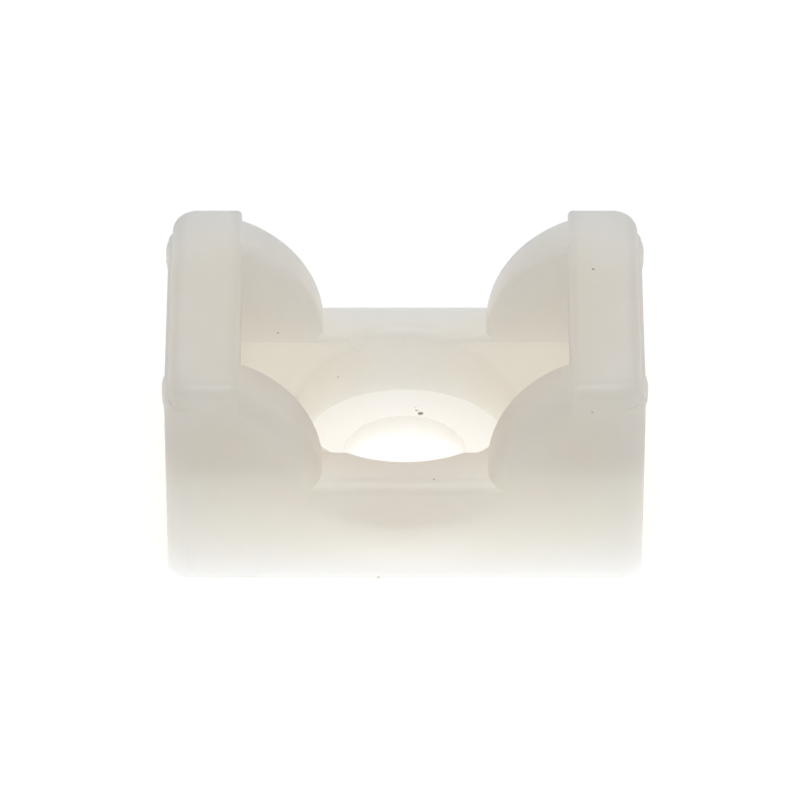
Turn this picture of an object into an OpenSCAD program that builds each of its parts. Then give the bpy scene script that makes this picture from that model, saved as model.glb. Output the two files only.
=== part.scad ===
// Screw-fixed saddle for a cable tie. The tie runs along X, through both end
// walls and over the screw head; the cable lies along Y between four cheeks.
// Origin: middle of the mounting face, on the screw axis.

/* [Block] */
// Length over the two end faces
body_len = 20; // [18.6:0.2:24]
// Width from the front face to the back face
body_w = 13.3; // [12.5:0.1:16]
// Height of the end walls
body_h = 9.85; // [8.8:0.05:12]
// Lean of each end face below the moulding seam, in degrees
end_draft = 0.5; // [0:0.1:1.5]

/* [Cheeks] */
// Radius that each cheek turns to the cable
cheek_r = 5.4; // [4:0.1:6]
// Centre of that radius, measured in from the end face
cheek_inset = 1.15; // [0.9:0.05:1.6]

/* [End walls] */
// Thickness of an end wall
wall_t = 3.1; // [2.4:0.1:3.8]

/* [Saddle] */
// Height of the two lips that carry the cable
lip_h = 4.8; // [4.4:0.05:5.2]
// Step from the lips down to the floor of the strap way
seat_drop = 0.35; // [0.2:0.05:0.6]

/* [Strap] */
// Widest strap that lies between the cheeks
strap_w = 7.6; // [4.8:0.2:8]
// Side play of the strap, each side
strap_side_play = 0.3; // [0.1:0.05:0.5]
// Thickness of the strap
strap_t = 1.6; // [1.1:0.1:2]
// Height play of the strap in the end wall slots
strap_top_play = 0.6; // [0.3:0.1:1]

/* [Screw] */
// Nominal diameter of the fixing screw
screw_d = 5; // [3:0.5:5.5]
// Diameter play of the screw in its hole
screw_play = 0.2; // [0.1:0.05:0.5]
// Diameter of the screw head
head_d = 8.6; // [7:0.1:9]
// Diameter play of the head in its pocket
head_play = 0.4; // [0.2:0.05:0.6]
// Thickness left under the head
seat_t = 1.7; // [1.2:0.1:2.4]

/* [Edges] */
// Rounding of the four upright corners
corner_round = 1.05; // [0.6:0.05:1.5]
// Rounding of the end walls' top edges, outside
top_round = 0.7; // [0.4:0.05:0.9]
// Rounding of the end walls' top edges, towards the cable
wall_round = 0.6; // [0.3:0.05:0.8]
// Rounding of the cheeks, front and back
cheek_round = 1; // [0.5:0.05:1.2]
// Rounding of the cheeks on the strap side, and of the slots
inner_round = 0.35; // [0.2:0.05:0.5]
// Rounding of the lips, front and back
lip_round = 0.85; // [0.5:0.05:1]
// Rounding of the screw pocket's rim
rim_round = 0.6; // [0.3:0.05:0.8]
// Rounding of the lips beside the strap way
seat_round = 0.2; // [0.1:0.05:0.2]
// Rounding round the mounting face
base_round = 0.15; // [0.1:0.05:0.4]

/* [Seam] */
// Distance of the end faces' seam below the top
seam_drop = 1.15; // [0.95:0.05:1.6]
// How far the end faces stand back above the seam
seam_step = 0.17; // [0.05:0.01:0.25]
// How far the lips' rounding overruns the faces, where the mould halves meet
seam_over = 0.1; // [0:0.02:0.2]
// How far the swellings under the seam stand off the end faces
swell_h = 0.1; // [0.04:0.01:0.2]
// Height of the swellings
swell_w = 0.5; // [0.2:0.05:0.6]

/* [Hidden] */
$fn = 96;
nylon = [0.93, 0.92, 0.88];
eps = 0.01;
big = 2 * body_len;

half_len = body_len / 2;
half_w = body_w / 2;
way_w = strap_w + 2 * strap_side_play;
cheek_t = (body_w - way_w) / 2;
slot_h = strap_t + strap_top_play;
floor_z = lip_h - seat_drop;
wall_x = half_len - wall_t;
cheek_x = half_len - cheek_inset;
cheek_z = body_h - cheek_r;
hole_r = (screw_d + screw_play) / 2;
pocket_r = (head_d + head_play) / 2;
seam_z = body_h - seam_drop;
top_r = min(top_round, corner_round);
bury = 1;

// Upright prism: the outline lies in XY.
module along_z(h) linear_extrude(height = h) children();
// Prism along X: the outline's x is the part's Y, and its y is Z.
module along_x(len) translate([-len / 2, 0, 0]) rotate([90, 0, 90]) linear_extrude(height = len) children();
// Prism along Y: the outline's x is the part's X, and its y is Z.
module along_y(len) translate([0, len / 2, 0]) rotate([90, 0, 0]) linear_extrude(height = len) children();

// Rectangle centred on x = 0 that stands on y = low, with separate roundings.
// The upper one may overrun the sides, which leaves a fine edge there.
module round_block(w, low, high, r_low, r_high, over = 0) {
    difference() {
        translate([-w / 2, low]) square([w, high - low]);
        for (s = [-1, 1]) {
            corner_bite(s * w / 2, low, -s, 1, r_low);
            corner_bite(s * (w / 2 + over), high, -s, -1, r_high);
        }
    }
}

// What a quarter round of radius r takes off a corner at (x, y); the solid
// lies on the side that sx and sy point to.
module corner_bite(x, y, sx, sy, r) {
    if (r > 0)
        translate([x, y]) difference() {
            translate([sx > 0 ? -eps : -r, sy > 0 ? -eps : -r]) square(r + eps);
            translate([sx * r, sy * r]) circle(r);
        }
}

// Section of one cheek through its thickness, to be revolved: radius along x,
// thickness along y, the outer face at y = 0.
module cheek_section() {
    difference() {
        square([cheek_r, cheek_t]);
        corner_bite(cheek_r, 0, -1, 1, cheek_round);
        corner_bite(cheek_r, cheek_t, -1, -1, inner_round);
    }
}

// One cheek: a quarter of a disc on a straight foot, against its end wall.
module cheek() {
    translate([cheek_x, -half_w, cheek_z]) intersection() {
        rotate([-90, 0, 0]) rotate_extrude() cheek_section();
        translate([-cheek_r - 1, -1, 0]) cube([cheek_r - cheek_x + wall_x + bury + 1, cheek_t + 2, cheek_r]);
    }
    translate([cheek_x, -half_w, bury]) mirror([1, 0, 0]) linear_extrude(height = cheek_z - bury)
        cheek_section();
}

// Base with the two rounded lips and the sunk floor of the strap way.
module base_block() {
    difference() {
        along_x(body_len) round_block(body_w, 0, lip_h, base_round, lip_round, seam_over);
        along_x(2 * wall_x) translate([0, floor_z]) union() {
            translate([-way_w / 2, 0]) square([way_w, seat_drop + eps]);
            for (s = [-1, 1]) corner_bite(s * way_w / 2, seat_drop, s, -1, seat_round);
        }
    }
}

// End walls, with the top edge of their inner faces rounded.
module end_walls() {
    for (s = [-1, 1])
        along_y(body_w) difference() {
            translate([s > 0 ? wall_x : -half_len, bury]) square([wall_t, body_h - bury]);
            corner_bite(s * wall_x, body_h, s, -1, wall_round);
        }
}

// Block with all its edges rounded: the roundings of the upper and the lower
// edges run on round the upright corners.
module envelope(len, low, high, r_low, r_high) {
    along_x(len - 2 * corner_round) round_block(body_w, low, high, r_low, r_high);
    along_y(body_w - 2 * corner_round) round_block(len, low, high, r_low, r_high);
    for (sx = [-1, 1], sy = [-1, 1])
        translate([sx * (len / 2 - corner_round), sy * (half_w - corner_round), 0])
            rotate_extrude() intersection() {
                round_block(2 * corner_round, low, high, r_low, r_high);
                translate([0, low]) square([corner_round, high - low]);
            }
}

module solid_block() {
    intersection() {
        union() {
            envelope(body_len, 0, seam_z, base_round, 0);
            envelope(body_len - 2 * seam_step, seam_z - bury, body_h, 0, top_r);
        }
        union() {
            base_block();
            end_walls();
            for (mx = [0, 1], my = [0, 1]) mirror([mx, 0, 0]) mirror([0, my, 0]) cheek();
        }
    }
}

// Slot through both end walls, level with the strap way's floor.
module strap_slots() {
    for (s = [-1, 1])
        translate([s * half_len, 0, 0]) along_x(2 * wall_t)
            round_block(way_w, floor_z, floor_z + slot_h, 0, inner_round);
}

// Rounds the pocket's rim off from the level where it is placed.
module rim_bite() rotate_extrude() corner_bite(pocket_r, 0, 1, -1, rim_round);

// Screw hole and the pocket that sinks the screw head below the strap.
module screw_way() {
    translate([0, 0, -1]) cylinder(r = hole_r, h = body_h);
    translate([0, 0, seat_t]) cylinder(r = pocket_r, h = body_h);
    translate([0, 0, lip_h]) rim_bite();
    intersection() {
        translate([0, 0, floor_z]) rim_bite();
        cube([big, way_w, big], center = true);
    }
}

// Leans the end faces in below the seam.
module end_lean() {
    for (s = [0, 1]) mirror([s, 0, 0])
        translate([half_len, 0, seam_z]) rotate([0, end_draft, 0])
            translate([0, -big / 2, -big]) cube([big, big, big]);
}

// Low swellings on the end faces under the seam, one beside each cheek: the
// chord of each runs from the slot's side to the upright corner.
module swellings() {
    chord = half_w - corner_round - way_w / 2;
    swell_r = (chord * chord / 4 + swell_h * swell_h) / (2 * swell_h);
    for (mx = [0, 1], my = [0, 1]) mirror([mx, 0, 0]) mirror([0, my, 0])
        translate([half_len, way_w / 2 + chord / 2, seam_z - swell_w]) along_z(swell_w) intersection() {
            translate([swell_h - swell_r, 0]) circle(swell_r);
            translate([-bury, -chord / 2]) square([2 * bury, chord]);
        }
}

module tie_mount() {
    color(nylon) union() {
        difference() {
            solid_block();
            screw_way();
            strap_slots();
            end_lean();
        }
        swellings();
    }
}

tie_mount();
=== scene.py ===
import math

import bmesh
import bpy
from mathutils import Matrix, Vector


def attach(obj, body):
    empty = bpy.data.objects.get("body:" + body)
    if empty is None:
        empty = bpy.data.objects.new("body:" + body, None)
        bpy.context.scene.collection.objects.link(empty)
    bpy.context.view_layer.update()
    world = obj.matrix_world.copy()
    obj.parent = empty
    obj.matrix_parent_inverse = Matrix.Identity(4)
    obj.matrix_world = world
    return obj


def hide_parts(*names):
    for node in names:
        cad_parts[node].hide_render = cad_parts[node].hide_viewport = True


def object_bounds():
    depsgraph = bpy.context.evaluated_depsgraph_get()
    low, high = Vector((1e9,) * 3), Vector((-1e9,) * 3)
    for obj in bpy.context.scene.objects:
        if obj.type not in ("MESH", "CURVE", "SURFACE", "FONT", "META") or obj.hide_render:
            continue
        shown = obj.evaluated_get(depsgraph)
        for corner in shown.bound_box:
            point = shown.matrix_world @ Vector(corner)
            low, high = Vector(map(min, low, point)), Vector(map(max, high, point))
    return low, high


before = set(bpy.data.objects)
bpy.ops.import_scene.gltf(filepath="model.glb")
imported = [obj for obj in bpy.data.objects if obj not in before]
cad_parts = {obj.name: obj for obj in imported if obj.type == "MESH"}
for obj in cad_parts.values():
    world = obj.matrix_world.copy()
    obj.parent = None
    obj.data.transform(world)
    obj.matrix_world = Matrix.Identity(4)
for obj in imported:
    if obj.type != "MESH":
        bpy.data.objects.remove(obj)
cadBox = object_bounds()
mm = 0.001  # in metres


class Sock:  # one socket of a shader node, so that a mask reads as a sum
    def __init__(self, tree, socket):
        self.tree = tree
        self.socket = socket

    def node(self, kind, inputs=(), out=0, **settings):
        made = self.tree.nodes.new(kind)
        for name, value in settings.items():
            setattr(made, name, value)
        pairs = inputs.items() if isinstance(inputs, dict) else enumerate(inputs)
        for key, value in pairs:
            if isinstance(value, Sock):
                self.tree.links.new(value.socket, made.inputs[key])
            elif value is not None:
                made.inputs[key].default_value = value
        return Sock(self.tree, made.outputs[out])

    def maths(self, operation, *values):
        return self.node("ShaderNodeMath", values, operation=operation)

    def __add__(self, other): return self.maths("ADD", self, other)
    def __radd__(self, other): return self.maths("ADD", other, self)
    def __sub__(self, other): return self.maths("SUBTRACT", self, other)
    def __rsub__(self, other): return self.maths("SUBTRACT", other, self)
    def __mul__(self, other): return self.maths("MULTIPLY", self, other)
    def __rmul__(self, other): return self.maths("MULTIPLY", other, self)

    def most(self, other): return self.maths("MAXIMUM", self, other)

    def ease(self, low, high):  # 0 up to low, 1 from high on
        return self.node("ShaderNodeMapRange", [self, low, high, 0.0, 1.0],
                         interpolation_type="SMOOTHSTEP")

    def mixColours(self, first, second):  # sockets 6, 7 and 2 are the node's colour ones
        return self.node("ShaderNodeMix", {0: self, 6: first, 7: second}, out=2,
                         data_type="RGBA")

    def mixShaders(self, first, second):
        return self.node("ShaderNodeMixShader", [self, first, second])

    def apart(self, place):  # how far a coordinate is from a place
        return self.node("ShaderNodeVectorMath", [self, place], out=1, operation="DISTANCE")

    def noise(self, scale, detail):
        return self.node("ShaderNodeTexNoise",
                         {"Vector": self, "Scale": scale, "Detail": detail})

    def takes(self, shader):  # for the socket that startNodes gives
        self.tree.links.new(shader.socket, self.socket)


def startNodes(owner, outputKind):  # empties a node tree and gives its output's surface socket
    owner.use_nodes = True
    tree = owner.node_tree
    tree.nodes.clear()
    return Sock(tree, tree.nodes.new(outputKind).inputs["Surface"])


nylon = {
    "pale": (0.975, 0.845, 0.67, 1),
    "deep": (0.965, 0.83, 0.65, 1),
    "cloud": (420, 3.0),        # each noise: features per metre, and detail
    "cloudEdge": (0.35, 0.65),
    "grain": (9000, 2.0),
    "grainHeight": 0.006 * mm,
    "wave": (260, 1.0),
    "waveHeight": 0.05 * mm,
    "roughness": 0.42,
    "roughnessPlay": 0.06,      # how far the grain moves it, from end to end
    "ior": 1.53,
    "scatter": (1.0, 0.97, 0.95),
    "scatterScale": 21 * mm,
    "speckColour": (0.035, 0.03, 0.025, 1),
    "speckEdge": (0.7, 1.2),    # dark within and gone beyond, in radii
    "fray": (7000, 1.0),        # the noise that frays the specks
    "frayDepth": 0.1 * mm,
    "specks": [  # burnt granules in the moulding: place and radius in mm, strength
        ((0.66, 2.76, 1.70), 0.13, 1.0), ((0.50, 2.98, 1.70), 0.07, 0.8),
        ((0.46, 3.18, 1.70), 0.05, 0.6), ((0.56, 3.34, 1.70), 0.04, 0.4),
        ((-2.85, 3.48, 3.10), 0.05, 0.5), ((-5.38, 4.10, 4.97), 0.05, 0.5),
        ((7.90, 1.90, 9.85), 0.055, 0.9), ((7.75, -6.65, 8.65), 0.04, 0.5),
        ((1.20, -6.08, 4.75), 0.045, 0.6), ((-1.12, -6.62, 0.06), 0.09, 1.0),
    ],
}


def nylonMaterial(look):
    material = bpy.data.materials.new("naturalNylon")
    surface = startNodes(material, "ShaderNodeOutputMaterial")
    place = surface.node("ShaderNodeTexCoord", out="Object")
    cloud = place.noise(*look["cloud"]).ease(*look["cloudEdge"])
    colour = cloud.mixColours(look["deep"], look["pale"])

    fray = (place.noise(*look["fray"]) - 0.5) * look["frayDepth"]
    speck = None
    for spot, radius, strength in look["specks"]:
        away = place.apart([c * mm for c in spot]) + fray
        low, high = (edge * radius * mm for edge in look["speckEdge"])
        dot = (1.0 - away.ease(low, high)) * strength
        speck = dot if speck is None else speck.most(dot)
    colour = speck.mixColours(colour, look["speckColour"])

    grain = place.noise(*look["grain"])
    wave = place.noise(*look["wave"])
    bump = surface.node("ShaderNodeBump", {"Height": grain, "Distance": look["grainHeight"]})
    bump = surface.node("ShaderNodeBump", {"Height": wave, "Distance": look["waveHeight"],
                                           "Normal": bump})
    play = look["roughnessPlay"]
    surface.takes(surface.node("ShaderNodeBsdfPrincipled", {
        "Base Color": colour,
        "Roughness": grain * play + (look["roughness"] - play / 2),
        "IOR": look["ior"],
        "Subsurface Weight": 1.0,
        "Subsurface Radius": look["scatter"],
        "Subsurface Scale": look["scatterScale"],
        "Normal": bump,
    }))
    return material


moulded = {
    "weld": 0.0005 * mm,
    "keenEdge": 32,             # degrees: a sharper edge keeps its crease
}


def makeMoulding(node, look, finish):
    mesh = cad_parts[node].data.copy()
    mesh.name = "moulding"
    bm = bmesh.new()
    bm.from_mesh(mesh)
    bmesh.ops.remove_doubles(bm, verts=bm.verts, dist=look["weld"])
    for face in bm.faces:
        face.smooth = True
    for edge in bm.edges:
        edge.smooth = edge.calc_face_angle(0) < math.radians(look["keenEdge"])
    bm.to_mesh(mesh)
    bm.free()
    piece = bpy.data.objects.new("moulding", mesh)
    bpy.context.scene.collection.objects.link(piece)
    mesh.materials.clear()      # the plain colour that came with the solid
    mesh.materials.append(nylonMaterial(finish))
    even = piece.modifiers.new("evenNormals", "WEIGHTED_NORMAL")
    even.keep_sharp = True
    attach(piece, "root")
    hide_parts(node)


makeMoulding("tie_mount", moulded, nylon)
print("moulding made")


studio = {
    "tableSize": 1.2,
    "tableDrop": 0.02 * mm,
    "tableColour": (0.65, 0.65, 0.65, 1),  # what lamps and shadows act on
    "tableGlow": 0.58,          # and what comes from the table itself
    "sheetLevel": 0.99,         # a lit sheet in the table, which glows through the nylon
    "sheetEdge": (27 * mm, 33 * mm),
    "spotLevel": 1.3,           # a little brighter under the pocket
    "spotEdge": (3 * mm, 5.8 * mm),
    "roomWhite": 1.0,           # as seen
    "roomLevel": 0.42,          # as it lights the part
    "lamps": [  # name, place, size, level of its sheet
        ("over", (0, -0.12, 0.5), 0.15, 9.0),
        ("back", (0, 0.7, 0.35), 0.7, 0.5),
        ("left", (-0.6, 0, 0.35), 0.6, 0.35),
        ("right", (0.6, 0, 0.35), 0.6, 0.55),
    ],
}


def seenBy(surface):  # 1 for rays that show the white studio
    camera, glossy, through = (surface.node("ShaderNodeLightPath", out=name) for name in
                               ("Is Camera Ray", "Is Glossy Ray", "Is Transmission Ray"))
    return camera.most(glossy).most(through)


def tableMaterial(look):
    material = bpy.data.materials.new("whiteTable")
    surface = startNodes(material, "ShaderNodeOutputMaterial")
    spot, sheet, glow = (surface.node("ShaderNodeEmission", {"Strength": look[level]})
                         for level in ("spotLevel", "sheetLevel", "tableGlow"))
    middle = surface.node("ShaderNodeTexCoord", out="Object").apart((0, 0, 0))
    lit = middle.ease(*look["spotEdge"]).mixShaders(spot, sheet)
    lit = middle.ease(*look["sheetEdge"]).mixShaders(lit, None)  # dark beyond the sheet
    matt = surface.node("ShaderNodeBsdfDiffuse", {"Color": look["tableColour"]})
    shown = surface.node("ShaderNodeAddShader", [glow, matt])
    surface.takes(seenBy(surface).mixShaders(lit, shown))
    return material


def makeTable(look):
    bm = bmesh.new()
    bmesh.ops.create_grid(bm, x_segments=1, y_segments=1, size=look["tableSize"] / 2)
    bmesh.ops.translate(bm, vec=(0, 0, -look["tableDrop"]), verts=bm.verts)
    mesh = bpy.data.meshes.new("table")
    bm.to_mesh(mesh)
    bm.free()
    table = bpy.data.objects.new("table", mesh)
    bpy.context.scene.collection.objects.link(table)
    mesh.materials.append(tableMaterial(look))


def makeRoom(look):
    room = bpy.data.worlds.new("room")
    bpy.context.scene.world = room
    surface = startNodes(room, "ShaderNodeOutputWorld")
    level = seenBy(surface) * (look["roomWhite"] - look["roomLevel"]) + look["roomLevel"]
    surface.takes(surface.node("ShaderNodeBackground", {"Strength": level}))


def makeLamps(look):
    for name, place, size, level in look["lamps"]:
        lamp = bpy.data.lights.new(name, "AREA")
        lamp.shape = "SQUARE"
        lamp.size = size
        lamp.energy = level * math.pi * size * size  # a sheet of this radiance
        obj = bpy.data.objects.new(name, lamp)
        obj.location = place
        obj.rotation_mode = "QUATERNION"
        obj.rotation_quaternion = obj.location.normalized().to_track_quat("Z", "Y")
        bpy.context.scene.collection.objects.link(obj)


view = {
    "rise": 36.1,               # degrees above the table
    "reach": 433 * mm,
    "lens": 462.6,
    "sensor": 36,
    "shift": (-0.0062, -0.0119),
    "clip": (0.01, 10),
}


def makeCamera(look, middle):
    camera = bpy.data.cameras.new("camera")
    camera.lens = look["lens"]
    camera.sensor_width = look["sensor"]
    camera.shift_x, camera.shift_y = look["shift"]
    camera.clip_start, camera.clip_end = look["clip"]
    obj = bpy.data.objects.new("camera", camera)
    rise = math.radians(look["rise"])
    obj.location = (0, -look["reach"] * math.cos(rise),
                    middle + look["reach"] * math.sin(rise))
    obj.rotation_euler = (math.pi / 2 - rise, 0, 0)
    bpy.context.scene.collection.objects.link(obj)
    bpy.context.scene.camera = obj


makeTable(studio)
makeRoom(studio)
makeLamps(studio)
makeCamera(view, cadBox[1].z / 2)
bpy.context.scene.view_settings.view_transform = "Standard"
print("studio made")
